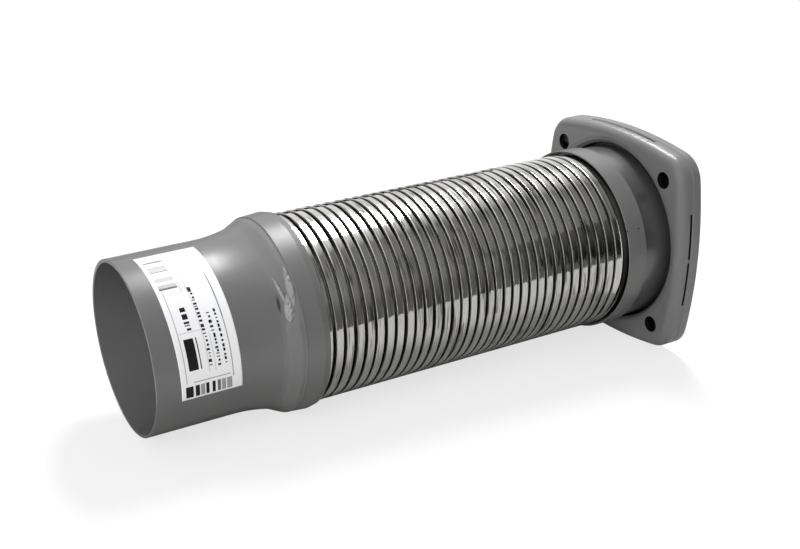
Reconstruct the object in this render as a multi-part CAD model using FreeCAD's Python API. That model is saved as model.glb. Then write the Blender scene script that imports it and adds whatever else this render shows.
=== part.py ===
"""Exhaust flex pipe: a tube stub with a widened end, a strip-wound hose between two end ferrules,
and a short neck in a square four-bolt flange. Millimetres. The pipe's axis is X, the origin is the
centre of the flange's mating face, the stub points to -X and +Z is up."""

import math
import os

import FreeCAD
import Part
from FreeCAD import Vector

os.makedirs("parts", exist_ok=True)

# Spigot
spigot_od = 101.6
spigot_wall = 2.0
spigot_straight = 52.0      # plain length from the mouth to the flare
flare_radius = 92.0
flare_angle = 15.0
swage_rise = 5.7            # growth in radius from the plain tube to the wide end
seat_length = 3.0           # plain wide end that butts on the hose

# Sleeve and weld
bore_fit = 0.1              # radial clearance where a tube sits in another piece
sleeve_length = 15.0
sleeve_wall = 1.55          # at the weld
sleeve_swell = 0.9          # growth in radius towards the hose
sleeve_shoulder = 4.0       # from the largest diameter to the sleeve's edge
shoulder_drop = 0.8
bead_reach = 8.6            # along the spigot, from the sleeve's end
bead_crown = 0.75           # bulge of the bead over its straight flank
bead_flats = 3              # straight strips that make the bulge
lump_radius = 4.6
lump_rise = 1.0
lump_places = ((136.0, -1.8), (143.0, -3.2), (150.0, -4.6), (157.0, -4.2))  # angle, distance

# Hose
hose_wall = 2.9
open_length = 210.5         # between the two ferrules
pitch = 6.4
strip_step = 1.1            # height of a turn's edge over the next turn
edge_width = 0.9            # the edge's own slope, along the axis
first_gap = 1.9             # from the sleeve's edge to the nearest gap, at the underside
sleeve_grip = 10.6          # length of hose inside the sleeve

# Neck and collar
hose_slack = 0.65           # the neck's radius over the hose's
neck_wall = 2.0
neck_length = 36.4
neck_gap = 1.25             # open ring between the neck and the shell's lip
neck_recess = 2.6           # neck's end behind the mating face
weld_recess = 0.4           # neck weld's top behind the mating face
weld_leg = 1.9              # neck weld's width on the neck's end
collar_wall = 1.5
collar_length = 14.1
collar_lap = 6.8            # part of the collar that lies over the neck
collar_chamfer = 0.4
collar_mouth = 1.0          # chamfer inside the edge that faces the hose

# Flange
flange_rim = 12.85          # from the neck's outside to the middle of a side
side_radius = 285.0         # bow of each side
corner_radius = 18.0
plate_thickness = 6.4
plate_chamfer = 0.8
shell_height = 9.6          # from the plate to the front face
shell_wall = 3.0
rim_roll = 6.0              # outer radius of the rounded rim
lip_roll = 6.0              # outer radius of the lip round the neck
lip_flats = 3               # straight strips that make the lip's bend
bolt_rim = 12.85            # from the neck's outside to the bolt circle
bolt_hole = 10.5
bolt_count = 4
slit_width = 2.2            # gap between shell and plate along each side
slit_reach = 31.0           # from the middle of a side to the slit's end
tack_width = 2.2
tack_depth = 2.0
tack_inset = 0.3            # tack's face behind the flange's side

# Radii and widths, from the spigot outwards
spigot_radius = spigot_od / 2
seat_radius = spigot_radius + swage_rise
sleeve_bore = seat_radius + bore_fit
sleeve_front = sleeve_bore + sleeve_wall
sleeve_back = sleeve_front + sleeve_swell
hose_radius = seat_radius
hose_bore = hose_radius - hose_wall
neck_radius = hose_radius + hose_slack
collar_bore = neck_radius + bore_fit
flange_width = 2 * (neck_radius + flange_rim)
bolt_circle = 2 * (neck_radius + bolt_rim)

# The spigot's flare
flare_turn = math.radians(flare_angle)
flare_rise = flare_radius * (1 - math.cos(flare_turn))
cone_length = (swage_rise - flare_rise) / math.tan(flare_turn)

# Places along X, from the mating face back to the mouth
plate_front = -plate_thickness
shell_front = plate_front - shell_height
neck_end = -neck_recess
neck_start = neck_end - neck_length
collar_end = neck_start + collar_lap
collar_start = collar_end - collar_length
sleeve_end = collar_start - open_length
sleeve_start = sleeve_end - sleeve_length
hose_start = sleeve_end - sleeve_grip
knee = hose_start - seat_length
flare_start = knee - cone_length - flare_radius * math.sin(flare_turn)
mouth = flare_start - spigot_straight

axis_x = Vector(1, 0, 0)
origin = Vector(0, 0, 0)


def point(x, r):
    """Point of a profile: station along the axis and radius."""
    return Vector(x, 0, r)


def revolve(edges):
    """Solid of revolution about X from the closed profile that the edges make."""
    face = Part.Face(Part.Wire(edges))
    return face.revolve(origin, axis_x, 360)


def path(points, closed=True):
    """Straight edges through (x, r) points."""
    ends = points[1:] + points[:1] if closed else points[1:]
    return [Part.makeLine(point(*a), point(*b)) for a, b in zip(points, ends)]


def arc(start, middle, end):
    """Circular edge through three (x, r) points."""
    return Part.Arc(point(*start), point(*middle), point(*end)).toShape()


def ring(start, end, outer, inner):
    """Plain tube between two stations."""
    return revolve(path([(start, inner), (start, outer), (end, outer), (end, inner)]))


def flange_outline(x, inset):
    """Square with four bowed sides and round corners, moved inwards by an even margin."""
    centre = flange_width / 2 - side_radius
    reach = side_radius - corner_radius
    corner = (centre + math.sqrt(2 * reach ** 2 - centre ** 2)) / 2
    tilt = math.atan2(corner, corner - centre)
    side = side_radius - inset
    tip = corner_radius - inset

    def spot(cy, radius, angle, turn):
        y = cy[0] + radius * math.cos(angle)
        z = cy[1] + radius * math.sin(angle)
        return Vector(x, y * turn[0] - z * turn[1], y * turn[1] + z * turn[0])

    edges = []
    for turn in ((1, 0), (0, 1), (-1, 0), (0, -1)):
        flank = [spot((centre, 0), side, a, turn) for a in (-tilt, 0, tilt)]
        bend = (tilt, math.pi / 4, math.pi / 2 - tilt)
        knee = [spot((corner, corner), tip, a, turn) for a in bend]
        edges.append(Part.Arc(*flank).toShape())
        edges.append(Part.Arc(*knee).toShape())
    return Part.Wire(edges)


def slab(start, end, inset):
    """Flange outline extruded between two stations."""
    return Part.Face(flange_outline(start, inset)).extrude(Vector(end - start, 0, 0))


def front_edges(solid, x):
    """Edges of a solid that lie wholly in the plane at one station."""
    box = [edge.BoundBox for edge in solid.Edges]
    return [e for e, b in zip(solid.Edges, box) if abs(b.XMin - x) < 1e-6 and b.XLength < 1e-6]


def around(shape, count):
    """Copies of a shape spaced evenly round the axis."""
    copies = [shape.copy() for _ in range(count)]
    for k, copy in enumerate(copies):
        copy.rotate(origin, axis_x, 360.0 * k / count)
    return copies


def bolt_holes(start, end):
    """Cutters for the bolt holes, on the flange's diagonals."""
    side = bolt_circle / 2 * math.sqrt(0.5)
    drill = Part.makeCylinder(bolt_hole / 2, end - start, Vector(start, side, side), axis_x)
    return around(drill, bolt_count)


def flange_plate():
    """Flat back half with the mating face."""
    plate = slab(plate_front, 0, 0)
    plate = plate.makeChamfer(plate_chamfer, front_edges(plate, plate_front))
    bore = ring(plate_front - 1, 1, collar_bore, 0)
    return plate.cut([bore] + bolt_holes(plate_front - 1, 1))


def side_blocks(half_length, height, outer, depth):
    """Blocks that stand on the plate at the middle of each side."""
    corner = Vector(plate_front - height, outer - depth, -half_length)
    return around(Part.makeBox(height, depth, 2 * half_length, corner), 4)


def flange_shell():
    """Pressed front half: rounded rim, lip turned in round the neck, slits along the sides."""
    outside = slab(shell_front, plate_front, 0)
    outside = outside.makeFillet(rim_roll, front_edges(outside, shell_front))
    floor = shell_front + shell_wall
    cavity = slab(floor, plate_front, shell_wall)
    lip_radius = neck_radius + neck_gap
    opening = ring(shell_front - 1, plate_front, lip_radius + lip_roll, 0)
    shell = outside.cut([cavity, opening]).fuse(shell_lip(lip_radius))
    slits = side_blocks(slit_reach, slit_width, flange_width / 2 + 1, 2 * shell_wall)
    return shell.cut(slits + bolt_holes(shell_front - 1, plate_front)).removeSplitter()


def shell_lip(radius):
    """Lip that turns from the front face into the flange."""
    x, r = shell_front + lip_roll, radius + lip_roll
    turns = [math.radians(90 * k / lip_flats) for k in range(lip_flats + 1)]
    outside = [(x - lip_roll * math.cos(a), r - lip_roll * math.sin(a)) for a in turns]
    inside = [(x, radius + shell_wall), (shell_front + shell_wall, radius + shell_wall),
              (shell_front + shell_wall, r)]
    return revolve(path(outside + inside))


def rim_tacks():
    """Tack welds that bridge the slits at the middle of each side."""
    outer = flange_width / 2 - tack_inset
    return Part.makeCompound(side_blocks(tack_width / 2, slit_width, outer, tack_depth))


def neck_weld():
    """Fillet between the neck's end and the plate's bore."""
    corner = [(neck_end, collar_bore), (-weld_recess, collar_bore), (neck_end, collar_bore - weld_leg)]
    return revolve(path(corner))


def inlet_collar():
    """Ferrule over the hose's end and the neck."""
    outer = collar_bore + collar_wall
    cut = collar_chamfer
    return revolve(path([
        (collar_start, collar_bore + collar_mouth), (collar_start, outer - cut),
        (collar_start + cut, outer), (collar_end - cut, outer), (collar_end, outer - cut),
        (collar_end, collar_bore), (collar_start + collar_mouth, collar_bore)]))


def winding(radius, start, turns):
    """Left-handed helix about the axis, one edge for each turn, begun at the underside."""
    coil = Part.makeLongHelix(pitch, pitch * turns, radius, 0, True)
    coil.rotate(origin, Vector(0, 1, 0), 90)
    coil.translate(Vector(start, 0, 0))
    return coil.Edges


def turn_section(inner, low, high):
    """Flat face that closes the winding where a turn begins or ends."""
    corners = [inner[0], low[0], high, low[1], inner[1]]
    return Part.Face(Part.makePolygon(corners + corners[:1]))


def wound_rod():
    """Solid rod with the wound strip's outside, longer than the hose at both ends."""
    lead = math.ceil((sleeve_grip + first_gap) / pitch) + 1
    start = sleeve_end + first_gap - lead * pitch
    turns = math.ceil((neck_start - start) / pitch) + 1
    core = winding(hose_bore / 2, start, turns + 1)
    low = winding(hose_radius - strip_step, start, turns + 1)
    high = winding(hose_radius, start + edge_width, turns)
    rule = Part.makeRuledSurface
    faces = [rule(core[0], low[0]), rule(core[turns], low[turns])]
    for k in range(turns):
        faces += [rule(low[k], high[k]), rule(high[k], low[k + 1]), rule(core[k], core[k + 1])]
    first = [[line[k].firstVertex().Point for k in (0, 1)] for line in (core, low)]
    last = [[line[turns].firstVertex().Point, line[turns].lastVertex().Point] for line in (core, low)]
    faces.append(turn_section(*first, high[0].firstVertex().Point))
    faces.append(turn_section(*last, high[-1].lastVertex().Point))
    skin = Part.Compound(faces)
    skin.sewShape()
    return Part.Solid(skin.Shells[0])


def flex_hose():
    """Strip-wound hose: each turn's edge laps over the next turn, and the ends are cut square."""
    blank = ring(hose_start, neck_start, hose_radius + strip_step, hose_bore)
    return wound_rod().common(blank).Solids[0]


def outlet_sleeve():
    """Ferrule over the spigot's and the hose's ends, widest near its edge."""
    return revolve(path([
        (sleeve_start, sleeve_bore), (sleeve_start, sleeve_front),
        (sleeve_end - sleeve_shoulder, sleeve_back), (sleeve_end, sleeve_back - shoulder_drop),
        (sleeve_end, sleeve_bore)]))


def spigot_outside():
    """Outer side of the spigot, mouth to hose: straight, bend, cone and seat."""
    centre = spigot_radius + flare_radius
    bend = [(flare_start + flare_radius * math.sin(a), centre - flare_radius * math.cos(a))
            for a in (0, flare_turn / 2, flare_turn)]
    cone = [bend[2], (knee, seat_radius), (hose_start, seat_radius)]
    tube = path([(mouth, spigot_radius), bend[0]], closed=False)
    return tube + [arc(*bend)] + path(cone, closed=False)


def outlet_spigot():
    """Tube stub with its widened end; the bend is sharp on the inside."""
    inner, seat = spigot_radius - spigot_wall, seat_radius - spigot_wall
    shift = spigot_wall * math.tan(flare_turn / 2)
    corner = flare_start + flare_radius * math.tan(flare_turn / 2) + shift
    inside = [(hose_start, seat_radius), (hose_start, seat), (knee + shift, seat), (corner, inner),
              (mouth, inner), (mouth, spigot_radius)]
    return revolve(spigot_outside() + path(inside, closed=False))


def spigot_core():
    """Everything inside the spigot's outer surface."""
    ends = [(hose_start, seat_radius), (hose_start, 0), (mouth, 0), (mouth, spigot_radius)]
    return revolve(spigot_outside() + path(ends, closed=False))


def outlet_weld():
    """Fillet bead in the corner between spigot and sleeve, with a lumpy start and stop."""
    top = sleeve_front
    toe_x = sleeve_start - bead_reach
    turn = math.asin((toe_x - flare_start) / flare_radius)
    toe_r = spigot_radius + flare_radius * (1 - math.cos(turn))
    slope = math.atan2(top - toe_r, bead_reach)
    flank = []
    for k in range(bead_flats + 1):
        share = k / bead_flats
        bulge = 4 * bead_crown * share * (1 - share)
        flank.append((toe_x + bead_reach * share - bulge * math.sin(slope),
                      toe_r + (top - toe_r) * share + bulge * math.cos(slope)))
    root = spigot_radius - spigot_wall
    bead = revolve(path(flank + [(sleeve_start, root), (toe_x, root)]))
    lumps = [weld_lump(angle, shift, toe_r, top) for angle, shift in lump_places]
    return bead.fuse(lumps).cut([spigot_core(), sleeve_block()]).removeSplitter()


def weld_lump(angle, shift, toe_r, top):
    """Ball sunk in the bead, at an angle from +Y towards +Z and a distance from the sleeve."""
    local = top + (top - toe_r) * shift / bead_reach + bead_crown
    turn = math.radians(angle)
    r = local + lump_rise - lump_radius
    place = Vector(sleeve_start + shift, r * math.cos(turn), r * math.sin(turn))
    return Part.makeSphere(lump_radius, place)


def sleeve_block():
    """Room of the sleeve, down to the axis."""
    return ring(sleeve_start, sleeve_end, sleeve_back, 0)


nodes = {
    "outlet_spigot": outlet_spigot,
    "outlet_weld": outlet_weld,
    "outlet_sleeve": outlet_sleeve,
    "flex_hose": flex_hose,
    "inlet_collar": inlet_collar,
    "flange_neck": lambda: ring(neck_start, neck_end, neck_radius, neck_radius - neck_wall),
    "neck_weld": neck_weld,
    "flange_shell": flange_shell,
    "rim_tacks": rim_tacks,
    "flange_plate": flange_plate,
}

for name, make in nodes.items():
    shape = make()
    shape.exportStep(f"parts/{name}.step")
    print(name, len(shape.Solids), "solids", round(shape.Volume), "mm3", "valid", shape.isValid())
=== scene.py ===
# %% [markdown]
# # Exhaust flex pipe: the looks
# The pipe links an engine's exhaust to the silencer of a truck. A grey painted stub with a widened
# end is welded to a sleeve, the sleeve grips a hose wound from one steel strip, and a collar, a
# short neck and a bolted square flange follow. The CAD nodes carry the shapes. This script gives
# them their paint, winds the hose from its real strip, and adds the weld metal and a paper label.

# %% Load the frame
import math
import random

import bmesh
import bpy
from mathutils import Matrix, Vector, noise


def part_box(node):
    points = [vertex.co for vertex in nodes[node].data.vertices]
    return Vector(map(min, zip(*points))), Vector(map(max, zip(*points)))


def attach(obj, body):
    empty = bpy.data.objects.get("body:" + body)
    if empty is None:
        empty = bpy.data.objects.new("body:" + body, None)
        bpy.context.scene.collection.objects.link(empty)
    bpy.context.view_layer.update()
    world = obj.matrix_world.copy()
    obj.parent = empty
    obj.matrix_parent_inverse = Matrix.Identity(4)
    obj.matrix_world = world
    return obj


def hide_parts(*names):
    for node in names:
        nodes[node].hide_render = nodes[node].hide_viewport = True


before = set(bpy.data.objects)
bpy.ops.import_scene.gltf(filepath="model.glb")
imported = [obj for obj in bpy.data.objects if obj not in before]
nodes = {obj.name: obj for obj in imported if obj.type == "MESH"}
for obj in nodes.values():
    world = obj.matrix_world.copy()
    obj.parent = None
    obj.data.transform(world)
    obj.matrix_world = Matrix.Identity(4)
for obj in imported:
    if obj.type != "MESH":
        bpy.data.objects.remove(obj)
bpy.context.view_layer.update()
MM = 0.001
for name in sorted(nodes):
    low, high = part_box(name)
    print(f"{name:15s} x {low.x / MM:8.1f} to {high.x / MM:7.1f}   radius {high.z / MM:6.1f} mm")

# %% [markdown]
# ## Camera
# The photograph looks down on the pipe from the open end of the stub. Place, angle and lens come
# from fitting the CAD's circles and edges to the photograph's. A small shift keeps the frame's
# middle where the photographer had it, and stays small because other views keep it.

# %% Camera
IMAGE_WIDTH = 800
SENSOR = 36.0
FOCAL_PIXELS = 1223.7
SHIFT = (0.0538, 0.0530)
CLIP = (0.01, 50)
CAMERA_PLACE = Vector((-532.7, -593.0, 299.6)) * MM
CAMERA_TURN = (64.9189, 1.1649, -29.2153)

lens = bpy.data.cameras.new("photo_camera")
lens.sensor_width = SENSOR
lens.lens = FOCAL_PIXELS / IMAGE_WIDTH * SENSOR
lens.shift_x, lens.shift_y = SHIFT
lens.clip_start, lens.clip_end = CLIP
camera = bpy.data.objects.new("photo_camera", lens)
camera.location = CAMERA_PLACE
camera.rotation_euler = [math.radians(a) for a in CAMERA_TURN]
bpy.context.scene.collection.objects.link(camera)
bpy.context.scene.camera = camera
print("lens", round(lens.lens, 2), "mm")

# %% [markdown]
# ## Helpers for materials
# A node is added with its settings and links in one call, and where a whole node is given for an
# input, its result is linked. Colours are written as on a paint card, in sRGB hex, and turned to
# the linear values that the shader needs.

# %% Helpers for materials
# The values of a noise texture lie mostly in this range.
NOISE = (0.3, 0.7)


def linear(code):
    """The linear colour of an sRGB hex code."""
    parts = [int(code[i:i + 2], 16) / 255 for i in (1, 3, 5)]
    return [p / 12.92 if p <= 0.04045 else ((p + 0.055) / 1.055) ** 2.4 for p in parts] + [1.0]


def add_node(tree, kind, inputs=None, **settings):
    """Adds a node, sets its settings, and fills its inputs with values, sockets or nodes."""
    node = tree.nodes.new(kind)
    for key, value in settings.items():
        setattr(node, key, value)
    for key, value in (inputs or {}).items():
        if isinstance(value, bpy.types.Node):
            value = next(output for output in value.outputs if output.enabled)
        if isinstance(value, bpy.types.NodeSocket):
            tree.links.new(value, node.inputs[key])
        else:
            node.inputs[key].default_value = value
    return node


def new_material(name):
    """An empty material and its node tree."""
    material = bpy.data.materials.new(name)
    material.use_nodes = True
    material.node_tree.nodes.clear()
    print("material:", name)
    return material, material.node_tree


def finish_material(tree, shader):
    add_node(tree, "ShaderNodeOutputMaterial", {"Surface": shader})


# %% [markdown]
# ## Helpers for pieces
# Most of the pipe is round, so most new pieces are a profile that is spun about the X axis. A
# profile is drawn at the top of the pipe, as points of X and radius in millimetres.

# %% Helpers for pieces
def new_piece(name, mesh_maker, material, body="root"):
    """Makes an object from a bmesh that mesh_maker fills, smooth shaded, riding on a body."""
    mesh = bpy.data.meshes.new(name)
    form = bmesh.new()
    mesh_maker(form)
    form.to_mesh(mesh)
    form.free()
    for face in mesh.polygons:
        face.use_smooth = True
    piece = bpy.data.objects.new(name, mesh)
    bpy.context.scene.collection.objects.link(piece)
    mesh.materials.append(material)
    if body:
        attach(piece, body)
    print(f"{name}: {len(mesh.vertices)} points, {len(mesh.polygons)} faces")
    return piece


def polygon(form, points, close=True):
    """A chain of edges through points in the X-radius plane, at the top of the pipe."""
    verts = [form.verts.new((x * MM, 0, r * MM)) for x, r in points]
    pairs = list(zip(verts, verts[1:] + verts[:1] if close else verts[1:]))
    return [form.edges.new(pair) for pair in pairs]


def arc(x, r, radius, start, end, steps):
    """Points of an arc in the X-radius plane, from one angle to another, in degrees."""
    turns = [math.radians(start + (end - start) * i / steps) for i in range(steps + 1)]
    return [(x + radius * math.cos(t), r + radius * math.sin(t)) for t in turns]


def whole_ring(form, points, steps):
    """Spins a closed profile once round the pipe's axis."""
    edges = polygon(form, points)
    verts = list({v for e in edges for v in e.verts})
    bmesh.ops.spin(form, geom=edges + verts, cent=(0, 0, 0), axis=(1, 0, 0), angle=2 * math.pi,
                   steps=steps, use_merge=True)


# %% [markdown]
# ## Grey enamel
# The steel tube parts and the flange are sprayed with a grey chassis enamel, satin rather than
# glossy. The spray leaves a fine orange peel that softens each reflection, a tone and a shine that
# change slowly with the coat's thickness, and a little dust. A picture of paint could be wrapped
# round each part, but patterns in real millimetres fit every part without a seam.

# %% Grey enamel
PEEL = 2.2 * MM
PEEL_HEIGHT = 0.05 * MM
CLOUD = 38 * MM
SHINE_SPREAD = (-0.03, 0.05)
# Real dust is finer. Its specks are drawn this coarse, because smaller ones are lost in the render.
DUST = 0.9 * MM
DUST_FROM = (0.72, 0.8)
DUST_SHARE = 0.35
DUST_COLOUR = linear("#8e8e8c")
# Near black: bare steel in the collar's chips, and painted shade in the flange's holes and gaps and
# in the weld's crease.
BARE_STEEL_OR_SHADE_COLOUR = linear("#0d0d0d")


def sprayed_enamel(name, body_colour, cloud_colour, roughness, bare_or_shade=None):
    """Satin spray paint. The last argument makes a 0 to 1 mask of dark places in the same tree:
    bare steel, or painted shade.
    """
    material, tree = new_material(name)
    place = add_node(tree, "ShaderNodeTexCoord").outputs["Object"]
    peel = add_node(tree, "ShaderNodeTexNoise", {
        "Vector": place, "Scale": 1 / PEEL, "Detail": 2.0})
    cloud = add_node(tree, "ShaderNodeTexNoise", {
        "Vector": place, "Scale": 1 / CLOUD, "Detail": 3.0})
    dust = add_node(tree, "ShaderNodeTexNoise", {
        "Vector": place, "Scale": 1 / DUST, "Detail": 1.0})
    colour = add_node(tree, "ShaderNodeMix", {
        0: cloud, 6: linear(body_colour), 7: linear(cloud_colour)}, data_type="RGBA")
    specks = add_node(tree, "ShaderNodeMapRange", {
        "Value": dust, "From Min": DUST_FROM[0], "From Max": DUST_FROM[1], "To Max": DUST_SHARE})
    colour = add_node(tree, "ShaderNodeMix", {
        0: specks, 6: colour, 7: DUST_COLOUR}, data_type="RGBA")
    if bare_or_shade:
        colour = add_node(tree, "ShaderNodeMix", {
            0: bare_or_shade(tree, place), 6: colour, 7: BARE_STEEL_OR_SHADE_COLOUR}, data_type="RGBA")
    shine = add_node(tree, "ShaderNodeMapRange", {
        "Value": cloud, "From Min": NOISE[0], "From Max": NOISE[1],
        "To Min": roughness + SHINE_SPREAD[0], "To Max": roughness + SHINE_SPREAD[1]})
    bump = add_node(tree, "ShaderNodeBump", {
        "Height": peel, "Strength": 0.25, "Distance": PEEL_HEIGHT})
    finish_material(tree, add_node(tree, "ShaderNodeBsdfPrincipled", {
        "Base Color": colour, "Roughness": shine, "Normal": bump, "IOR": 1.5}))
    return material


grey_enamel = sprayed_enamel("sprayed_grey_enamel_on_steel", "#5d5d5d", "#636363",
                             roughness=0.315)

# %% [markdown]
# The bolt holes, the open ring round the neck and the slits between the flange's two layers get
# painted shade: the paint is turned near black there, for the shadow inside them. The mask follows
# the flange's own sizes: the distance from the pipe's line and from the nearest bolt's, and the
# depth behind the bowed sides within the slit's width.

# %% Enamel of the flange, with painted shade in its holes and gaps
HOLE_OFFSET = 49.5 * MM
HOLE_RADIUS = 5.33 * MM
SIDE = 70.0 * MM
SIDE_BOW = 570 * MM
SLIT_MIDDLE = -7.5 * MM
SLIT_HALF = 1.2 * MM
SLIT_DEPTH = 0.5 * MM
SLIT_REACH = 45 * MM
NECK_GAP = 59.4 * MM


def flange_painted_shade(tree, place):
    """Painted shade: 1 in the bolt holes, in the open ring round the neck and behind the slits, 0
    elsewhere.
    """
    across = add_node(tree, "ShaderNodeVectorMath", {0: place, 1: (0, 1, 1)}, operation="MULTIPLY")
    from_middle = add_node(tree, "ShaderNodeVectorMath", {0: across}, operation="LENGTH")
    in_ring = add_node(tree, "ShaderNodeMath", {0: from_middle, 1: NECK_GAP}, operation="LESS_THAN")

    quarter = add_node(tree, "ShaderNodeVectorMath", {0: across}, operation="ABSOLUTE")
    bolt = (0, HOLE_OFFSET, HOLE_OFFSET)
    to_bolt = add_node(tree, "ShaderNodeVectorMath", {0: quarter, 1: bolt}, operation="DISTANCE")
    in_hole = add_node(tree, "ShaderNodeMath", {0: to_bolt, 1: HOLE_RADIUS}, operation="LESS_THAN")

    parts = add_node(tree, "ShaderNodeSeparateXYZ", {"Vector": quarter})
    sides = {0: parts.outputs["Y"], 1: parts.outputs["Z"]}
    wide = add_node(tree, "ShaderNodeMath", sides, operation="MAXIMUM")
    narrow = add_node(tree, "ShaderNodeMath", sides, operation="MINIMUM")
    squared = add_node(tree, "ShaderNodeMath", {0: narrow, 1: narrow}, operation="MULTIPLY")
    reach = add_node(tree, "ShaderNodeMath", {
        0: squared, 1: 1 / SIDE_BOW, 2: wide}, operation="MULTIPLY_ADD")
    deep = add_node(tree, "ShaderNodeMath", {
        0: reach, 1: SIDE - SLIT_DEPTH}, operation="LESS_THAN")
    off_corner = add_node(tree, "ShaderNodeMath", {
        0: narrow, 1: SLIT_REACH}, operation="LESS_THAN")
    along = add_node(tree, "ShaderNodeSeparateXYZ", {"Vector": place}).outputs["X"]
    at_slit = add_node(tree, "ShaderNodeMath", {
        0: along, 1: SLIT_MIDDLE, 2: SLIT_HALF}, operation="COMPARE")
    behind = add_node(tree, "ShaderNodeMath", {0: deep, 1: off_corner}, operation="MULTIPLY")
    in_slit = add_node(tree, "ShaderNodeMath", {0: behind, 1: at_slit}, operation="MULTIPLY")
    dark = add_node(tree, "ShaderNodeMath", {0: in_ring, 1: in_hole}, operation="MAXIMUM")
    return add_node(tree, "ShaderNodeMath", {0: dark, 1: in_slit}, operation="MAXIMUM")


# The flange's holes, neck ring and slits are coloured near black as painted shade.
flange_enamel = sprayed_enamel("sprayed_grey_enamel_on_flange", "#646464", "#6a6a6a",
                               roughness=0.345, bare_or_shade=flange_painted_shade)

# %% [markdown]
# Two small chips in the collar's paint show dark steel. They are two spots in the same mask, each a
# distance from a point on the collar, so they stay in place from any side.

# %% Enamel of the collar
CHIP_ANGLE = math.radians(156.6)
CHIP_PLACES = (-45.9, -37.1)
CHIP_SIZE = 0.6 * MM
COLLAR_RADIUS = 58.75 * MM
CHIPS = [(x * MM, COLLAR_RADIUS * math.cos(CHIP_ANGLE), COLLAR_RADIUS * math.sin(CHIP_ANGLE))
         for x in CHIP_PLACES]


def collar_chips(tree, place):
    """1 in the two chips, 0 elsewhere."""
    away = [add_node(tree, "ShaderNodeVectorMath", {0: place, 1: chip}, operation="DISTANCE")
            for chip in CHIPS]
    nearest = add_node(tree, "ShaderNodeMath", {0: away[0], 1: away[1]}, operation="MINIMUM")
    return add_node(tree, "ShaderNodeMath", {0: nearest, 1: CHIP_SIZE}, operation="LESS_THAN")


collar_enamel = sprayed_enamel("sprayed_grey_enamel_on_collar", "#5b5b5b", "#616161",
                               roughness=0.315, bare_or_shade=collar_chips)

# %% [markdown]
# The short neck got only a mist of paint, so the turned steel below still shines through: it is
# darker where it mirrors dark things and paler towards the table. A surface that is mostly metal,
# with fine lines from the lathe, says so.

# %% Neck with a thin coat
# Each size is across the lathe's lines and along them. Real ones are about 0.1 mm wide, and are
# drawn this coarse, because finer ones are lost in the render.
LATHE_LINE = (0.7 * MM, 40 * MM)
LATHE_DEPTH = 0.03 * MM
MIST = 6 * MM
MIST_LEVEL = (0.88, 1.12)


def misted_steel(name, colour, metallic, roughness):
    """Turned steel that shows through a thin coat, a little lighter and darker in places."""
    material, tree = new_material(name)
    place = add_node(tree, "ShaderNodeTexCoord").outputs["Object"]
    turned = add_node(tree, "ShaderNodeMapping", {
        "Vector": place, "Scale": (1 / LATHE_LINE[0], 1 / LATHE_LINE[1], 1 / LATHE_LINE[1])})
    lines = add_node(tree, "ShaderNodeTexNoise", {"Vector": turned, "Scale": 1.0})
    mist = add_node(tree, "ShaderNodeTexNoise", {
        "Vector": place, "Scale": 1 / MIST, "Detail": 3.0})
    level = add_node(tree, "ShaderNodeMapRange", {
        "Value": mist, "To Min": MIST_LEVEL[0], "To Max": MIST_LEVEL[1]})
    tone = add_node(tree, "ShaderNodeHueSaturation", {"Color": linear(colour), "Value": level})
    bump = add_node(tree, "ShaderNodeBump", {
        "Height": lines, "Strength": 0.2, "Distance": LATHE_DEPTH})
    finish_material(tree, add_node(tree, "ShaderNodeBsdfPrincipled", {
        "Base Color": tone, "Metallic": metallic, "Roughness": roughness, "Normal": bump}))
    return material


neck_steel = misted_steel("turned_steel_under_mist_coat", "#727272", metallic=0.8, roughness=0.29)

# %% [markdown]
# ## Painted nodes
# The tubes, the collars and the flange keep the shapes they have in the CAD, and only change their
# plain material for one of the finishes above.

# %% Paint the nodes
PAINTED = {"outlet_spigot": grey_enamel, "outlet_sleeve": grey_enamel,
           "inlet_collar": collar_enamel, "flange_neck": neck_steel,
           "rim_tacks": grey_enamel, "neck_weld": grey_enamel,
           "flange_shell": flange_enamel, "flange_plate": flange_enamel}
for name, enamel in PAINTED.items():
    nodes[name].data.materials.clear()
    nodes[name].data.materials.append(enamel)
print("painted nodes:", len(PAINTED))

# %% [markdown]
# ## Rolled stainless strip
# The hose is wound from a thin stainless strip, nearly a mirror, which makes it hard to fake with a
# plain grey. The rolls leave fine lines and shallow waves along the strip, so what it mirrors
# breaks up round the pipe. Oil left from the winding lies on it in thin streaks. The grooves get
# painted shade: the metal darkens with depth, taken from the distance to the pipe's middle line,
# and a painted light makes them paler on the sides at mid height, where light reaches into them.

# %% Patterns along the strip
# Each size is across the strip and along it. Real roll lines are under 0.1 mm wide, and are drawn
# this coarse, because finer ones are lost in the render.
ROLL_LINE = (0.5 * MM, 30 * MM)
ROLL_DEPTH = 0.02 * MM
WAVE = (2.4 * MM, 8 * MM)
WAVE_HEIGHT = 0.09 * MM
STREAK = (0.9 * MM, 20 * MM)


def along_strip(tree, place, size, detail):
    """A pattern that is size[0] across the strip and size[1] long round the pipe."""
    scale = (1 / size[0], 1 / size[1], 1 / size[1])
    stretched = add_node(tree, "ShaderNodeMapping", {"Vector": place, "Scale": scale})
    return add_node(tree, "ShaderNodeTexNoise", {
        "Vector": stretched, "Scale": 1.0, "Detail": detail})


# %% Clean and oily steel, and painted shade in the grooves
CLEAN_STEEL = linear("#e2e1de")
ROLLED_STEEL = linear("#bab9b5")
OILY_STEEL = linear("#5d5c58")
STREAK_FROM = (0.5, 0.6)
STREAK_SHARE = 0.8
PATCH = 24 * MM
PATCH_FROM = (0.48, 0.58)
# From the groove's floor to its walls, and from the walls to the crown, as distance to the axis.
GROOVE_FLOOR = (54.45 * MM, 54.75 * MM)
GROOVE_WALL = (55.3 * MM, 55.95 * MM)
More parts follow.
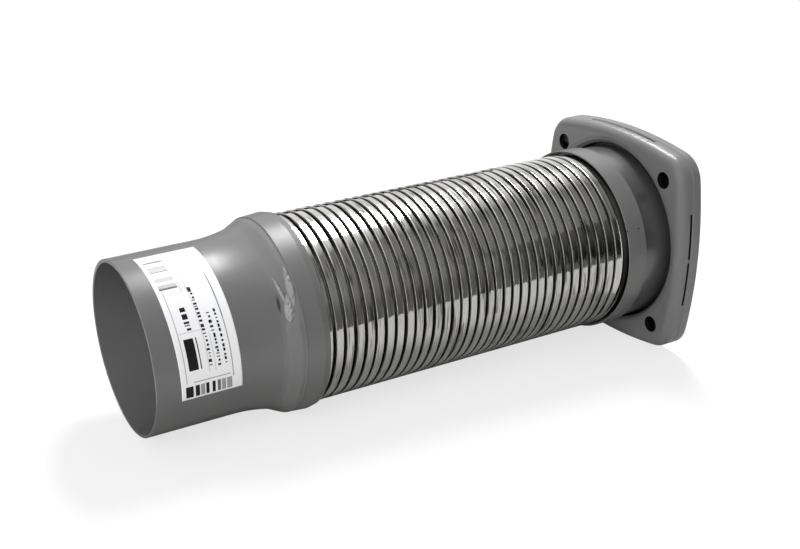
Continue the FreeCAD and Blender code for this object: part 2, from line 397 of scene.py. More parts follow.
# Heights between which the grooves are painted lighter on the sides, where light reaches in, each
# with the start and the end of its fade.
LIT_SIDE_TOP = (47 * MM, 40 * MM)
LIT_SIDE_FOOT = (4 * MM, 18 * MM)
# Painted shade deep in the grooves, and painted light where light reaches into them on the sides.
SHADED_FLOOR, LIT_FLOOR = linear("#232322"), linear("#8c8b86")
SHADED_WALL, LIT_WALL = linear("#111010"), linear("#302f2d")


def strip_colours(tree, place, lines):
    """Clean and oily steel, painted shade in the grooves, and a share that is 1 on the crowns."""
    streaks = along_strip(tree, place, STREAK, detail=2.0)
    patch = add_node(tree, "ShaderNodeTexNoise", {
        "Vector": place, "Scale": 1 / PATCH, "Detail": 1.0})
    streaked = add_node(tree, "ShaderNodeMapRange", {
        "Value": streaks, "From Min": STREAK_FROM[0], "From Max": STREAK_FROM[1],
        "To Max": STREAK_SHARE})
    patched = add_node(tree, "ShaderNodeMapRange", {
        "Value": patch, "From Min": PATCH_FROM[0], "From Max": PATCH_FROM[1]})
    oily = add_node(tree, "ShaderNodeMath", {0: streaked, 1: patched}, operation="MULTIPLY")
    rolled = add_node(tree, "ShaderNodeMapRange", {
        "Value": lines, "From Min": NOISE[0], "From Max": NOISE[1]})
    steel = add_node(tree, "ShaderNodeMix", {
        0: rolled, 6: CLEAN_STEEL, 7: ROLLED_STEEL}, data_type="RGBA")
    steel = add_node(tree, "ShaderNodeMix", {0: oily, 6: steel, 7: OILY_STEEL}, data_type="RGBA")

    across = add_node(tree, "ShaderNodeVectorMath", {0: place, 1: (0, 1, 1)}, operation="MULTIPLY")
    depth = add_node(tree, "ShaderNodeVectorMath", {0: across}, operation="LENGTH")
    crown = add_node(tree, "ShaderNodeMapRange", {
        "Value": depth, "From Min": GROOVE_WALL[0], "From Max": GROOVE_WALL[1]})
    wall = add_node(tree, "ShaderNodeMapRange", {
        "Value": depth, "From Min": GROOVE_FLOOR[0], "From Max": GROOVE_FLOOR[1]})
    # The grooves' painted light: paler between two heights on the sides.
    height = add_node(tree, "ShaderNodeSeparateXYZ", {"Vector": place}).outputs["Z"]
    below = add_node(tree, "ShaderNodeMapRange", {
        "Value": height, "From Min": LIT_SIDE_TOP[0], "From Max": LIT_SIDE_TOP[1]})
    above = add_node(tree, "ShaderNodeMapRange", {
        "Value": height, "From Min": LIT_SIDE_FOOT[0], "From Max": LIT_SIDE_FOOT[1]})
    lit_side = add_node(tree, "ShaderNodeMath", {0: below, 1: above}, operation="MULTIPLY")
    floor = add_node(tree, "ShaderNodeMix", {
        0: lit_side, 6: SHADED_FLOOR, 7: LIT_FLOOR}, data_type="RGBA")
    side = add_node(tree, "ShaderNodeMix", {
        0: lit_side, 6: SHADED_WALL, 7: LIT_WALL}, data_type="RGBA")
    groove = add_node(tree, "ShaderNodeMix", {0: wall, 6: floor, 7: side}, data_type="RGBA")
    colour = add_node(tree, "ShaderNodeMix", {0: crown, 6: groove, 7: steel}, data_type="RGBA")
    return colour, crown


# %% Strip metal
HANDLING = 9 * MM
HANDLING_FROM = (0.35, 0.75)
CROWN_ROUGHNESS = (0.03, 0.14)
GROOVE_ROUGHNESS = 0.45
GROOVE_METAL = 0.45


def strip_metal(name):
    """Bright steel on the crowns, with the marks of handling, and duller metal with painted shade
    in the grooves.
    """
    material, tree = new_material(name)
    place = add_node(tree, "ShaderNodeTexCoord").outputs["Object"]
    lines = along_strip(tree, place, ROLL_LINE, detail=3.0)
    waves = along_strip(tree, place, WAVE, detail=1.0)
    colour, crown = strip_colours(tree, place, lines)
    marks = add_node(tree, "ShaderNodeTexNoise", {
        "Vector": place, "Scale": 1 / HANDLING, "Detail": 4.0, "Roughness": 0.65})
    bare = add_node(tree, "ShaderNodeMapRange", {"Value": crown, "To Min": GROOVE_METAL})
    shine = add_node(tree, "ShaderNodeMapRange", {
        "Value": marks, "From Min": HANDLING_FROM[0], "From Max": HANDLING_FROM[1],
        "To Min": CROWN_ROUGHNESS[0], "To Max": CROWN_ROUGHNESS[1]})
    rough = add_node(tree, "ShaderNodeMix", {0: crown, 2: GROOVE_ROUGHNESS, 3: shine})
    waved = add_node(tree, "ShaderNodeBump", {
        "Height": waves, "Strength": 1.0, "Distance": WAVE_HEIGHT})
    bump = add_node(tree, "ShaderNodeBump", {
        "Height": lines, "Strength": 0.3, "Distance": ROLL_DEPTH, "Normal": waved})
    finish_material(tree, add_node(tree, "ShaderNodeBsdfPrincipled", {
        "Base Color": colour, "Metallic": bare, "Roughness": rough, "Normal": bump}))
    return material


bright_strip = strip_metal("rolled_stainless_strip")

# %% [markdown]
# ## Wound hose
# One strip is bent to a flat S and wound so that each turn hooks into the last: the outer leg
# forms the crown that shows, its hook drops behind the turn before, and the inner leg lies under
# the next crown and hooks up into it. The turns can slide a little, which makes the hose bend.
# A texture could fake the lines, but the grooves catch light and shadow, so the real section is
# spun along the winding. The winding is left-handed, as in the photograph.

# %% The strip's section
PITCH = 6.4
LEG = 0.6
GROOVE = 0.95
CROWN_TOP = 56.5
CROWN_END = 5.35
BEND = 0.42
BEND_STEPS = 3
FLAT_EDGE = 0.2
BORE = 53.6
HOOK_FOOT = 54.35
HOOK_HEAD = 55.75
INNER_END = 10.75


def strip_section():
    """The S of the strip, clockwise from the crown's mouth side. x is from a groove's middle."""
    shoulder = CROWN_TOP - BEND
    under = CROWN_TOP - LEG
    floor = BORE + LEG
    outer = arc(GROOVE + BEND, shoulder, BEND, 180, 90, BEND_STEPS)
    outer += [(GROOVE + BEND + FLAT_EDGE, CROWN_TOP), (CROWN_END - BEND - FLAT_EDGE, CROWN_TOP)]
    outer += arc(CROWN_END - BEND, shoulder, BEND, 90, 0, BEND_STEPS)
    inner_leg = [(CROWN_END, floor), (INNER_END - LEG, floor), (INNER_END - LEG, HOOK_HEAD),
                 (INNER_END, HOOK_HEAD), (INNER_END, BORE), (CROWN_END - LEG, BORE)]
    back = [(CROWN_END - LEG, under), (GROOVE + LEG, under), (GROOVE + LEG, HOOK_FOOT),
            (GROOVE, HOOK_FOOT)]
    return outer + inner_leg + back


print("section points:", len(strip_section()))

# %% Turns that slide on each other
FIRST_GROOVE = -254.9
TAIL_END = -39.8
TURN_DRIFT = (-1.16, 2.0)
TURN_SLIP = 0.5
SLIP_PER_TURN = 0.8
SLIP_SEED = (0.3, 0.7)
SEAM = 0.001


def mark_turn(form, first_count, turn):
    """Notes for each point how many turns it lies along the strip: 0 to 1 in the first turn."""
    form.verts.ensure_lookup_table()
    for vert in form.verts:
        angle = math.atan2(vert.co.y, -vert.co.z) % (2 * math.pi)
        share = 1 - angle / (2 * math.pi)
        if vert.index < first_count:
            share = 0
        elif share < SEAM:
            share = 1
        vert[turn] = share


def settle_turns(form, turn):
    """The turns slide: each by its own bit, closer in the middle and wider at the ends."""
    length = TAIL_END - FIRST_GROOVE
    for vert in form.verts:
        slip = noise.noise(Vector((vert[turn] * SLIP_PER_TURN, *SLIP_SEED)))
        vert.co.x += TURN_SLIP * MM * slip
        along = (vert.co.x / MM - FIRST_GROOVE) / length
        if 0 < along < 1:
            vert.co.x += MM * (TURN_DRIFT[0] * math.sin(math.pi * along)
                               + TURN_DRIFT[1] * math.sin(2 * math.pi * along))


# %% Wind the hose
HOSE_START = -267.4
HOSE_END = -47.8
TAIL_START = HOSE_END + 0.01
TAIL_TOP = 55.3
TURNS_BEFORE = 4
STEPS_PER_TURN = 96
DOUBLINGS = 6
MERGE = 0.002 * MM


def wind_hose(form):
    """Spins one turn, doubles it six times, cuts both ends flat and adds the plain end."""
    start = FIRST_GROOVE - TURNS_BEFORE * PITCH
    edges = polygon(form, [(start + x, r) for x, r in strip_section()])
    bmesh.ops.rotate(form, verts=form.verts, cent=(0, 0, 0),
                     matrix=Matrix.Rotation(math.pi, 3, "X"))
    first_count = len(form.verts)
    turn = form.verts.layers.float.new("turn")
    bmesh.ops.spin(form, geom=edges + list(form.verts), cent=(0, 0, 0), axis=(1, 0, 0),
                   angle=-2 * math.pi, dvec=(PITCH * MM / STEPS_PER_TURN, 0, 0),
                   steps=STEPS_PER_TURN, use_merge=False)
    mark_turn(form, first_count, turn)
    turns = 1
    for _ in range(DOUBLINGS):
        copied = bmesh.ops.duplicate(form, geom=form.verts[:] + form.edges[:] + form.faces[:])
        moved = [v for v in copied["geom"] if isinstance(v, bmesh.types.BMVert)]
        bmesh.ops.translate(form, vec=(turns * PITCH * MM, 0, 0), verts=moved)
        for vert in moved:
            vert[turn] += turns
        turns *= 2
    bmesh.ops.remove_doubles(form, verts=form.verts, dist=MERGE)
    for place, side in ((HOSE_START, -1), (HOSE_END, 1)):
        cut = bmesh.ops.bisect_plane(form, geom=form.verts[:] + form.edges[:] + form.faces[:],
                                     plane_co=(place * MM, 0, 0), plane_no=(side, 0, 0),
                                     clear_outer=True)
        rim = [e for e in cut["geom_cut"] if isinstance(e, bmesh.types.BMEdge)]
        bmesh.ops.triangle_fill(form, edges=rim, use_beauty=True)
    settle_turns(form, turn)
    tail = [(TAIL_START, BORE), (TAIL_START, TAIL_TOP), (TAIL_END, TAIL_TOP), (TAIL_END, BORE)]
    whole_ring(form, tail, STEPS_PER_TURN)
    bmesh.ops.recalc_face_normals(form, faces=form.faces)
    loose = sum(1 for e in form.edges if len(e.link_faces) != 2)
    print("turns wound before the cut:", turns, "  open edges:", loose)


hose = new_piece("wound_hose", wind_hose, bright_strip)
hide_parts("flex_hose")

# %% [markdown]
# ## Weld bead
# The stub and the sleeve are joined by one run of weld, sprayed over with the rest. It is a shallow
# fillet that flows from the stub's cone up to the sleeve's end. On the camera's side a second pass
# lies a little prouder, and on top the bead sinks and leaves the sleeve's edge open. The bead could
# be a plain cone, but weld metal is never that even. So it is a profile spun round the pipe, and
# its face is then raised and lowered a little.

# %% The bead's shape
BEAD_OUTSIDE = ((-284.2, 52.85), (-283.2, 53.12), (-282.2, 53.4), (-281.4, 53.66), (-280.9, 53.83),
                (-280.4, 54.02), (-279.6, 54.35), (-278.0, 55.1), (-276.2, 56.0), (-274.4, 56.95),
                (-273.3, 57.5), (-272.7, 57.78), (-272.1, 58.03), (-271.5, 58.24), (-271.0, 58.3),
                (-270.2, 58.22))
BEAD_INSIDE = ((-271.83, 56.05), (-279.97, 53.85))
INSIDE_SLOPE = 0.27
INSIDE_MARGIN = 0.3
BEAD_STEPS = 240
RIPPLE = 3.1 * MM
RIPPLE_HEIGHT = 0.07 * MM
# From, to, and the length of the slopes there: round the pipe in degrees, along it in millimetres.
PASS_ANGLES = (160, 228, 4, 12)
PASS_X = (-281.2, -272.4, 0.5, 0.8)
PASS_HEIGHT = 0.6 * MM
SUNK_ANGLES = (20, 134, 20, 10)
SUNK_X = (-274.6, -268, 1.6, 1)
SUNK_DEPTH = 0.55 * MM


def within(value, low, high, rise, fall):
    """1 inside a range and 0 outside, with a slope this long at each end."""
    return min(1, max(0, min((value - low) / rise, (high - value) / fall)))


def bead_height(vert):
    """How far a point of the bead's face stands over the even profile."""
    x = vert.co.x / MM
    angle = math.degrees(math.atan2(vert.co.z, vert.co.y)) % 360
    second_pass = within(angle, *PASS_ANGLES) * within(x, *PASS_X)
    sunk = within(angle, *SUNK_ANGLES) * within(x, *SUNK_X)
    ripple = noise.noise(vert.co / RIPPLE) * RIPPLE_HEIGHT
    return ripple + second_pass * PASS_HEIGHT - sunk * SUNK_DEPTH


def run_bead(form):
    """Spins the profile and shapes its face. The back, which lies on the tubes, stays even."""
    whole_ring(form, BEAD_OUTSIDE + BEAD_INSIDE, BEAD_STEPS)
    back_x, back_radius = BEAD_INSIDE[0]
    for vert in form.verts:
        radius = math.hypot(vert.co.y, vert.co.z)
        back = back_radius - INSIDE_SLOPE * (back_x - vert.co.x / MM) + INSIDE_MARGIN
        if radius > back * MM:
            vert.co.yz = vert.co.yz * (1 + bead_height(vert) / radius)
    bmesh.ops.recalc_face_normals(form, faces=form.faces)


# %% [markdown]
# Beside the place where the welder stopped, a short crease runs under the lump, and its shade is
# painted, as a dark streak in the weld's paint rather than a cut in the mesh. It is a mask of the
# weld's paint: the distance from a point, measured in a space that is stretched along the crease.

# %% Enamel with the painted shade of the crease
# Two ends, each as X in millimetres and degrees round the pipe.
CREASE = ((-281.2, 142.6), (-281.9, 156.0))
CREASE_RADIUS = 53.6
CREASE_HALF = (1.25 * MM, 2 * MM)
CREASE_CORE = 0.35
CREASE_SHARE = 0.8


def on_pipe(x, radius, angle):
    """A place in metres, from millimetres along the pipe, a radius and degrees round it."""
    turn = math.radians(angle)
    return Vector((x, radius * math.cos(turn), radius * math.sin(turn))) * MM


def painted_crease_shade(tree, place):
    """Painted shade of the crease, a soft dark streak: distance in a space that is stretched along
    the crease.
    """
    start, end = [on_pipe(x, CREASE_RADIUS, angle) for x, angle in CREASE]
    local = add_node(tree, "ShaderNodeMapping", {
        "Vector": place, "Location": (start + end) / 2,
        "Rotation": (end - start).to_track_quat("X", "Z").to_euler(),
        "Scale": ((end - start).length / 2, *CREASE_HALF)}, vector_type="TEXTURE")
    away = add_node(tree, "ShaderNodeVectorMath", {0: local}, operation="LENGTH")
    return add_node(tree, "ShaderNodeMapRange", {
        "Value": away, "From Min": 1.0, "From Max": CREASE_CORE, "To Max": CREASE_SHARE})


# The crease's darkness is painted shade in the weld's paint.
weld_enamel = sprayed_enamel("enamel_over_weld_metal", "#606060", "#676767",
                             roughness=0.315, bare_or_shade=painted_crease_shade)
bead = new_piece("weld_bead", run_bead, weld_enamel)
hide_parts("outlet_weld")

# %% [markdown]
# ## Lump on the weld
# Where the welder stopped and started again, the metal piled up in two ridges that run together in
# a rounded foot. It could be sculpted by hand. Here each ridge and the foot is a ball that is
# stretched, bent round the pipe and roughened with noise, so the script can make it again.

# %% Lump where the weld was stopped and started
# Each: from and to angle round the pipe, from and to X, half width at both ends, height.
RIDGES = (((129.0, 152.5), (-273.6, -274.4), (0.8, 2.0), 2.7),
          ((145.0, 161.0), (-275.9, -277.6), (2.5, 3.1), 2.6),
          ((132.5, 153.5), (-280.8, -277.2), (0.5, 1.1), 1.8))
RIDGE_SUNK = 0.7
WIDENING = 1.9
BALL_SPLITS = 5
TALLEST = 2.7
# The size and the height of the roughness.
COARSE = (2.0, 1.3)
FINE = (0.9, 0.8)


def bead_radius(x):
    """Radius of the bead's profile at a place along the pipe."""
    for (x0, r0), (x1, r1) in zip(BEAD_OUTSIDE, BEAD_OUTSIDE[1:]):
        if x <= x1:
            return r0 + (r1 - r0) * (x - x0) / (x1 - x0)
    return BEAD_OUTSIDE[-1][1]


def pile_lump(form):
    for angles, drifts, widths, height in RIDGES:
        ball = bmesh.ops.create_icosphere(form, subdivisions=BALL_SPLITS, radius=1)
        for vert in ball["verts"]:
            along = (1 - vert.co.z) / 2
            width = widths[0] + (widths[1] - widths[0]) * min(1, along * WIDENING)
            angle = math.radians(angles[0] + (angles[1] - angles[0]) * along)
            drift = drifts[0] + (drifts[1] - drifts[0]) * along
            radius = bead_radius(drift) - RIDGE_SUNK + vert.co.x * height
            spot = Vector((drift + vert.co.y * width, radius * math.cos(angle),
                           radius * math.sin(angle)))
            rough = (noise.noise(spot / COARSE[0]) * COARSE[1]
                     + noise.noise(spot / FINE[0]) * FINE[1])
            outward = Vector((0, math.cos(angle), math.sin(angle)))
            vert.co = (spot + outward * rough * height / TALLEST * max(0, vert.co.x)) * MM
    bmesh.ops.recalc_face_normals(form, faces=form.faces)


lump_enamel = sprayed_enamel("thin_enamel_on_weld_lump", "#747776", "#969897",
                             roughness=0.315)
lump = new_piece("weld_stop_lump", pile_lump, lump_enamel)

# %% [markdown]
# ## Paper label
# A coated paper label is stuck round the stub. Its print is generic: rules, bars and rows of short
# dashes. A picture would be the usual way, but a thin sheet can be spun round the stub, and its
# small faces are given ink or paper by their place on the label, in millimetres.

# %% Label materials
# Real fibres are finer. They are drawn this coarse, because smaller ones are lost in the render.
FIBRE = 0.8 * MM
FIBRE_HEIGHT = 0.02 * MM
TONE_PATCH = 20 * MM
TONE_LEVEL = (0.95, 1.05)


def label_material(name, colour, roughness, gloss=0.5):
    """Coated paper or ink: an even colour with a faint change of tone and a faint grain."""
    material, tree = new_material(name)
    place = add_node(tree, "ShaderNodeTexCoord").outputs["Object"]
    fibre = add_node(tree, "ShaderNodeTexNoise", {
        "Vector": place, "Scale": 1 / FIBRE, "Detail": 3.0})
    soft = add_node(tree, "ShaderNodeTexNoise", {"Vector": place, "Scale": 1 / TONE_PATCH})
    level = add_node(tree, "ShaderNodeMapRange", {
        "Value": soft, "To Min": TONE_LEVEL[0], "To Max": TONE_LEVEL[1]})
    tone = add_node(tree, "ShaderNodeHueSaturation", {"Color": linear(colour), "Value": level})
    bump = add_node(tree, "ShaderNodeBump", {
        "Height": fibre, "Strength": 0.1, "Distance": FIBRE_HEIGHT})
    finish_material(tree, add_node(tree, "ShaderNodeBsdfPrincipled", {
        "Base Color": tone, "Roughness": roughness, "Specular IOR Level": gloss, "Normal": bump}))
    return material


label_paper = label_material("coated_label_paper", "#dedee0", roughness=0.4)
label_inks = [label_material("black_printing_ink", "#161616", roughness=0.55, gloss=0.2),
              label_material("dark_grey_printing_ink", "#5c5c5e", roughness=0.5, gloss=0.3),
              label_material("grey_printing_ink", "#8c8c8e", roughness=0.45),
              label_material("light_grey_printing_ink", "#a8a8aa", roughness=0.45),
              label_material("pale_printing_ink", "#c6c6c8", roughness=0.45)]

# %% What is printed
PAPER, INK, DARK, GREY, LIGHT, PALE = range(6)

# Filled boxes: from and to across the label, from and to along it in millimetres, and the ink.
BOXES = [(2.2, 12.9, 8.0, 9.0, DARK), (2.2, 12.9, 13.4, 18.0, LIGHT), (2.2, 12.9, 17.4, 18.0, DARK),
         (2.2, 12.9, 13.4, 14.0, GREY), (2.2, 12.9, 22.4, 25.0, LIGHT),
         (2.2, 12.9, 27.0, 29.6, LIGHT), (2.2, 12.9, 29.6, 30.4, DARK),
         (13.3, 13.9, 7.0, 33.5, LIGHT), (16.3, 16.9, 10.0, 34.0, LIGHT),
         (3.5, 13.9, 33.4, 34.0, PALE), (2.9, 3.5, 30.0, 84.0, LIGHT),
         (3.5, 16.9, 55.8, 56.4, PALE), (5.4, 10.6, 59.4, 76.8, INK), (12.3, 12.9, 59.4, 77.0, INK),
         (16.4, 16.9, 34.0, 80.0, PALE), (19.8, 20.3, 58.0, 80.0, PALE),
         (29.5, 30.1, 24.6, 52.0, DARK), (29.5, 30.1, 52.0, 86.0, GREY),
         (7.0, 28.2, 83.4, 83.9, GREY)]

# A row of bars at the label's end: from and to across the label, and the ink.
END_BARS = [(2.4, 6.4, INK), (7.8, 10.2, INK), (10.8, 13.4, GREY), (13.8, 15.8, INK),
            (17.2, 19.2, INK), (20.4, 22.6, DARK), (23.2, 25.6, GREY), (26.2, 28.9, GREY)]
END_FROM, END_TO = 86.0, 93.4
BOXES += [(start, end, END_FROM, END_TO, ink) for start, end, ink in END_BARS]

# Rows of short dashes where print would be: foot and height of the row, from and to along it.
DASH_ROWS = ((8.4, 3.0, 42.7, 54), (17.1, 1.8, 32, 77), (22.0, 1.5, 48, 77), (25.8, 1.5, 47, 77))
DASH_LENGTHS = (0.6, 1.2, 1.2, 1.8, 2.6)
DASH_DROPS = (0, 0, 0.3, 0.6)
DASH_GAPS = (0.6, 1.2)
DASH_SEED = 5


def dash_boxes():
    """The rows of dashes as boxes."""
    chance = random.Random(DASH_SEED)
    boxes = []
    for across, tall, start, end in DASH_ROWS:
        along = start
        while along < end:
            length = chance.choice(DASH_LENGTHS)
            low = across + chance.choice(DASH_DROPS)
            boxes.append((low, across + tall, along, along + length, INK))
            along += length + chance.choice(DASH_GAPS)
    return boxes


BOXES += dash_boxes()
print("boxes printed on the label:", len(BOXES))

# %% Lay the label
LABEL_X = (-345.0, -310.0)
LABEL_SKEW = 3.2
LABEL_ANGLES = (89.5, 195.8)
LABEL_CELL = 0.6
LABEL_RADIUS = 50.86
LABEL_SHEET = 0.1
LABEL_TURN = math.radians(LABEL_ANGLES[1] - LABEL_ANGLES[0])
LABEL_LONG = LABEL_TURN * LABEL_RADIUS
LABEL_WIDE = LABEL_X[1] - LABEL_X[0]


def print_at(along, across):
    """Paper or ink at a place on the label."""
    inks = [ink for left, right, start, end, ink in BOXES
            if left < across < right and start < along < end]
    return min(inks, default=PAPER)


def lay_label(form):
    """Spins a row of small faces round the stub, a little askew, prints and thickens them."""
    cells = round(LABEL_WIDE / LABEL_CELL)
    row = [(LABEL_X[0] + LABEL_WIDE * i / cells, LABEL_RADIUS) for i in range(cells + 1)]
    edges = polygon(form, row, close=False)
    steps = round(LABEL_LONG / LABEL_CELL)
    bmesh.ops.rotate(form, verts=form.verts, cent=(0, 0, 0),
                     matrix=Matrix.Rotation(math.radians(LABEL_ANGLES[0] - 90), 3, "X"))
    bmesh.ops.spin(form, geom=edges + list(form.verts), cent=(0, 0, 0), axis=(1, 0, 0),
                   angle=LABEL_TURN, dvec=(LABEL_SKEW / steps * MM, 0, 0), steps=steps,
                   use_merge=False)
    for face in form.faces:
        middle = face.calc_center_median()
        turn = math.degrees(math.atan2(middle.z, middle.y)) % 360
        along = math.radians(turn - LABEL_ANGLES[0]) * LABEL_RADIUS
        edge = LABEL_X[0] + LABEL_SKEW * along / LABEL_LONG
        face.material_index = print_at(along, middle.x / MM - edge)
    bmesh.ops.recalc_face_normals(form, faces=form.faces)
    if form.faces[0].normal.dot(form.faces[0].calc_center_median()) < 0:
        bmesh.ops.reverse_faces(form, faces=form.faces)
    bmesh.ops.solidify(form, geom=form.faces, thickness=LABEL_SHEET * MM)


label = new_piece("paper_label", lay_label, label_paper)
for ink in label_inks:
    label.data.materials.append(ink)

# %% [markdown]
# ## Table
# A white table carries the pipe, which rests on the flange's edge and on the sleeve, so the table
# slopes a little in this frame. It is one large matt sheet. The picture's ground is plain white, so
# the camera sees the table paler than the light makes it, and quite white further out, and only a
# faint shadow stays. The hose mirrors it too, and right under the pipe, where hardly any light
# comes, a painted shadow darkens the table in reflections only.

# %% Table
# X and Z in millimetres of the two places where the pipe touches the table.
FLANGE_REST = (-12, -70.05)
SLEEVE_REST = (-264, -59.15)
FLOOR_POINT = Vector((FLANGE_REST[0], 0, FLANGE_REST[1])) * MM
FLOOR_SLOPE = math.atan2(SLEEVE_REST[1] - FLANGE_REST[1], FLANGE_REST[0] - SLEEVE_REST[0])
FLOOR_HALF = 12
WHITE_MIDDLE = (-0.18, 0, 0)
WHITE_FROM = (0.3, 0.8)
NEAR_WHITE = 0.7
SHADOW_UNDER_PIPE = (0.034, 0.012)


def floor_sheet(form):
    bmesh.ops.create_grid(form, x_segments=1, y_segments=1, size=FLOOR_HALF)
    bmesh.ops.rotate(form, verts=form.verts, cent=(0, 0, 0),
                     matrix=Matrix.Rotation(FLOOR_SLOPE, 3, "Y"))
    bmesh.ops.translate(form, verts=form.verts, vec=FLOOR_POINT)


def table_top(name):
    """Matt table with the pipe's shadow, paler to the camera, with a painted shadow under the pipe
    that only gloss sees.
    """
    material, tree = new_material(name)
    place = add_node(tree, "ShaderNodeTexCoord").outputs["Object"]
    away = add_node(tree, "ShaderNodeVectorMath", {0: place, 1: WHITE_MIDDLE}, operation="DISTANCE")
    fade = add_node(tree, "ShaderNodeMapRange", {
        "Value": away, "From Min": WHITE_FROM[0], "From Max": WHITE_FROM[1]},
        interpolation_type="SMOOTHSTEP")
    seen = add_node(tree, "ShaderNodeLightPath")
    by_camera = seen.outputs["Is Camera Ray"]
    by_gloss = seen.outputs["Is Glossy Ray"]
    sideways = add_node(tree, "ShaderNodeSeparateXYZ", {"Vector": place}).outputs["Y"]
    sideways = add_node(tree, "ShaderNodeMath", {0: sideways}, operation="ABSOLUTE")
    # Painted shadow right under the pipe, seen only by glossy rays.
    under = add_node(tree, "ShaderNodeMapRange", {
        "Value": sideways, "From Min": SHADOW_UNDER_PIPE[0], "From Max": SHADOW_UNDER_PIPE[1]})
    under = add_node(tree, "ShaderNodeMath", {0: under, 1: by_gloss}, operation="MULTIPLY")
    colour = add_node(tree, "ShaderNodeMix", {
        0: under, 6: linear("#b8b8b6"), 7: linear("#4c4c4a")}, data_type="RGBA")
    colour = add_node(tree, "ShaderNodeMix", {
        0: by_camera, 6: colour, 7: linear("#f2f2f2")}, data_type="RGBA")
    matt = add_node(tree, "ShaderNodeBsdfPrincipled", {"Base Color": colour, "Roughness": 0.9})
    white = add_node(tree, "ShaderNodeEmission", {"Color": (1, 1, 1, 1), "Strength": 1.0})
    looked = add_node(tree, "ShaderNodeMath", {0: by_camera, 1: by_gloss}, operation="MAXIMUM")
    far = add_node(tree, "ShaderNodeMath", {0: looked, 1: fade}, operation="MULTIPLY")
    near = add_node(tree, "ShaderNodeMath", {0: by_camera, 1: NEAR_WHITE}, operation="MULTIPLY")
    share = add_node(tree, "ShaderNodeMath", {0: far, 1: near}, operation="MAXIMUM")
    finish_material(tree, add_node(tree, "ShaderNodeMixShader", {0: share, 1: matt, 2: white}))
    return material


floor = new_piece("table_top", floor_sheet, table_top("white_table"), body=None)

# %% [markdown]
# ## What the hose mirrors
# Bright steel has little colour of its own, so the hose looks like what stands round it. The dark
# band along it is the dark room behind the camera, and a black cloth on the right darkens the turns
# that face it. Real walls would also shade the pipe, so large cards that only reflections see stand
# in for them. Each glows from one grey to another.

# %% Cards that only reflections see
def glow_material(name, first, last, span, direction=(0, 0, 1)):
    """A plain glow from one colour to another along a direction, between two distances."""
    material, tree = new_material(name)
    place = add_node(tree, "ShaderNodeTexCoord").outputs["Object"]
    along = add_node(tree, "ShaderNodeVectorMath", {
        0: place, 1: direction}, operation="DOT_PRODUCT")
    share = add_node(tree, "ShaderNodeMapRange", {
        "Value": along, "From Min": span[0], "From Max": span[1]})
    colour = add_node(tree, "ShaderNodeMix", {0: share, 6: first, 7: last}, data_type="RGBA")
    finish_material(tree, add_node(tree, "ShaderNodeEmission", {"Color": colour}))
    return material


def reflection_card(name, shape, glow):
    """A piece of the studio that only reflections see."""
    piece = new_piece(name, shape, glow, body=None)
    piece.visible_camera = False
    piece.visible_diffuse = False
    piece.visible_shadow = False
    piece.visible_transmission = False
    piece.visible_volume_scatter = False


def pull_edges(form, points, way):
    """Draws a line of edges through points and pulls it one way, into a row of faces."""
    verts = [form.verts.new(point) for point in points]
    edges = [form.edges.new(pair) for pair in zip(verts, verts[1:])]
    pulled = bmesh.ops.extrude_edge_only(form, edges=edges)["geom"]
    bmesh.ops.translate(form, verts=[v for v in pulled if isinstance(v, bmesh.types.BMVert)],
                        vec=way)
    return verts


# %% Grey room behind the camera
# Y and Z in metres of the floor, the wall and the ceiling strip on the camera's side.
ROOM_PROFILE = ((-0.33, -0.055), (-2.6, -0.05), (-2.6, 2.2), (0.02, 2.2))
ROOM_FROM = -3
ROOM_LONG = 7
ROOM_TURN = math.radians(12)


def dark_room(form):
    """The profile, drawn once, pulled along X and turned a little."""
    pull_edges(form, [(ROOM_FROM, y, z) for y, z in ROOM_PROFILE], (ROOM_LONG, 0, 0))
    bmesh.ops.rotate(form, verts=form.verts, cent=(0, ROOM_PROFILE[0][0], 0),
                     matrix=Matrix.Rotation(ROOM_TURN, 3, "Z"))


reflection_card("grey_room", dark_room,
                glow_material("grey_room", linear("#636361"), linear("#858582"),
                              span=(0.35, 1.2)))

# %% Black cloth to the right, dark walls behind
CLOTH_FOOT = ((0.8, -1.33, -0.053), (1.46, -0.41, -0.053))
CLOTH_FLOOR = ((0.62, -0.06, -0.053), (0.16, -0.28, -0.053))
LOW_WALL_FOOT = ((-3, 2.2, -0.1), (1.35, 2.2, -0.1))
BACK_WALL_FOOT = ((-2.4, 0.4, -0.1), (-0.9, 1.9, -0.1))


def upright_card(foot, height, floor=()):
    """A wall that stands on a line of ground points, with a floor of further points before it."""
    def make(form):
        verts = pull_edges(form, foot, (0, 0, height))
        if floor:
            form.faces.new(verts + [form.verts.new(point) for point in floor])
    return make


reflection_card("black_cloth", upright_card(CLOTH_FOOT, height=0.95, floor=CLOTH_FLOOR),
                glow_material("black_cloth", linear("#1c1c1c"), linear("#626260"),
                              span=(0.15, 0.95)))
reflection_card("low_dark_wall", upright_card(LOW_WALL_FOOT, height=0.45),
                glow_material("dark_wall", linear("#202020"), linear("#2c2c2c"), span=(0, 1)))
reflection_card("back_dark_wall", upright_card(BACK_WALL_FOOT, height=2.4),
                glow_material("back_wall", linear("#262626"), linear("#343434"), span=(0, 2)))

# %% [markdown]
# ## Ceiling
# The bright crowns on top of the hose mirror a white ceiling. One even sheet would end the bright
# band with a hard line, so a second strip lies along its edge and fades to the grey of the room.

# %% White ceiling with a soft edge
CEILING_Z = 2.19
CEILING_WHITE = [1.35] * 3 + [1]
CEILING_OUTLINE = ((-1.5, -1.4), (1.2, 0.97), (2.14, 2.87), (-1.5, 3.0))
EDGE_TURN = math.radians(42)
EDGE_SPAN = (-0.85, -0.08)
EDGE_LONG = 5
EDGE_MIDDLE = 0.5
EDGE_DROP = 0.01
ACROSS_EDGE = (-math.sin(EDGE_TURN), math.cos(EDGE_TURN), 0)


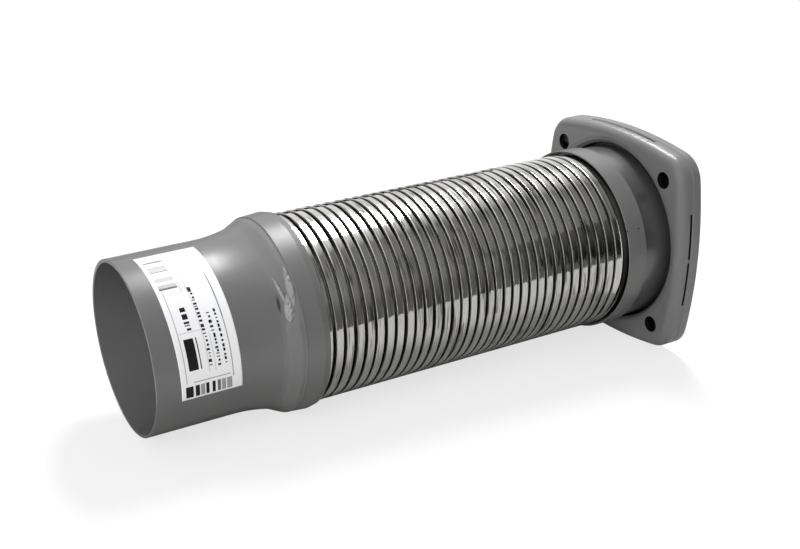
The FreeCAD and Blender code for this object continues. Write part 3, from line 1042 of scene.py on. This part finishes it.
def ceiling_panel(form):
    form.faces.new([form.verts.new((x, y, CEILING_Z)) for x, y in CEILING_OUTLINE])


def ceiling_edge(form):
    """A strip along the panel's edge towards the camera's side, where the light fades out."""
    low, high = EDGE_SPAN
    bmesh.ops.create_grid(form, x_segments=1, y_segments=1, size=0.5)
    bmesh.ops.scale(form, verts=form.verts, vec=(EDGE_LONG, high - low, 1))
    bmesh.ops.translate(form, verts=form.verts,
                        vec=(EDGE_MIDDLE, (low + high) / 2, CEILING_Z - EDGE_DROP))
    bmesh.ops.rotate(form, verts=form.verts, cent=(0, 0, 0),
                     matrix=Matrix.Rotation(EDGE_TURN, 3, "Z"))


reflection_card("ceiling_panel", ceiling_panel,
                glow_material("white_ceiling", CEILING_WHITE, CEILING_WHITE, span=(0, 1)))
reflection_card("ceiling_edge", ceiling_edge,
                glow_material("fading_ceiling", linear("#858582"), CEILING_WHITE,
                              span=EDGE_SPAN, direction=ACROSS_EDGE))

# %% [markdown]
# ## Lamps
# A softbox above and behind gives the soft highlights on the paint. A wide lamp on the left opens
# the shadows round the mouth, and reflections don't see it, since it would shine in the hose. The
# world is plain white to the camera and to reflections, and lights the pipe with just under half
# of that.

# %% Lamps and world
PIPE_MIDDLE = Vector((-0.2, 0, 0))
WORLD_LIGHT = 0.46


def softbox(name, direction, distance, width, depth, power):
    """Oval lamp that faces the pipe. Width runs along the pipe, depth round it."""
    lamp = bpy.data.lights.new(name, "AREA")
    lamp.shape = "ELLIPSE"
    lamp.size, lamp.size_y = width, depth
    lamp.energy = power
    back = Vector(direction).normalized()
    along = (Vector((1, 0, 0)) - back * back.x).normalized()
    holder = bpy.data.objects.new(name, lamp)
    holder.location = PIPE_MIDDLE + back * distance
    holder.rotation_euler = Matrix((along, back.cross(along), back)).transposed().to_euler()
    bpy.context.scene.collection.objects.link(holder)
    print(f"{name}: {power} W")
    return holder


softbox("softbox_above", (0.37, 0.38, 0.85), distance=1.3, width=0.3, depth=0.7, power=18)
fill = softbox("fill_from_the_left", (-0.72, -0.55, 0.42), distance=2.2, width=1.6, depth=1.6,
               power=40)
fill.visible_glossy = False

world = bpy.data.worlds.new("studio")
bpy.context.scene.world = world
world.use_nodes = True
world.node_tree.nodes.clear()
tree = world.node_tree
seen = add_node(tree, "ShaderNodeLightPath")
looked = add_node(tree, "ShaderNodeMath", {
    0: seen.outputs["Is Camera Ray"], 1: seen.outputs["Is Glossy Ray"]}, operation="MAXIMUM")
looked = add_node(tree, "ShaderNodeMath", {
    0: looked, 1: seen.outputs["Is Transmission Ray"]}, operation="MAXIMUM")
strength = add_node(tree, "ShaderNodeMapRange", {
    "Value": looked, "To Min": WORLD_LIGHT, "To Max": 1.0})
studio = add_node(tree, "ShaderNodeBackground", {"Color": (1, 1, 1, 1), "Strength": strength})
add_node(tree, "ShaderNodeOutputWorld", {"Surface": studio})
bpy.context.scene.view_settings.view_transform = "Standard"
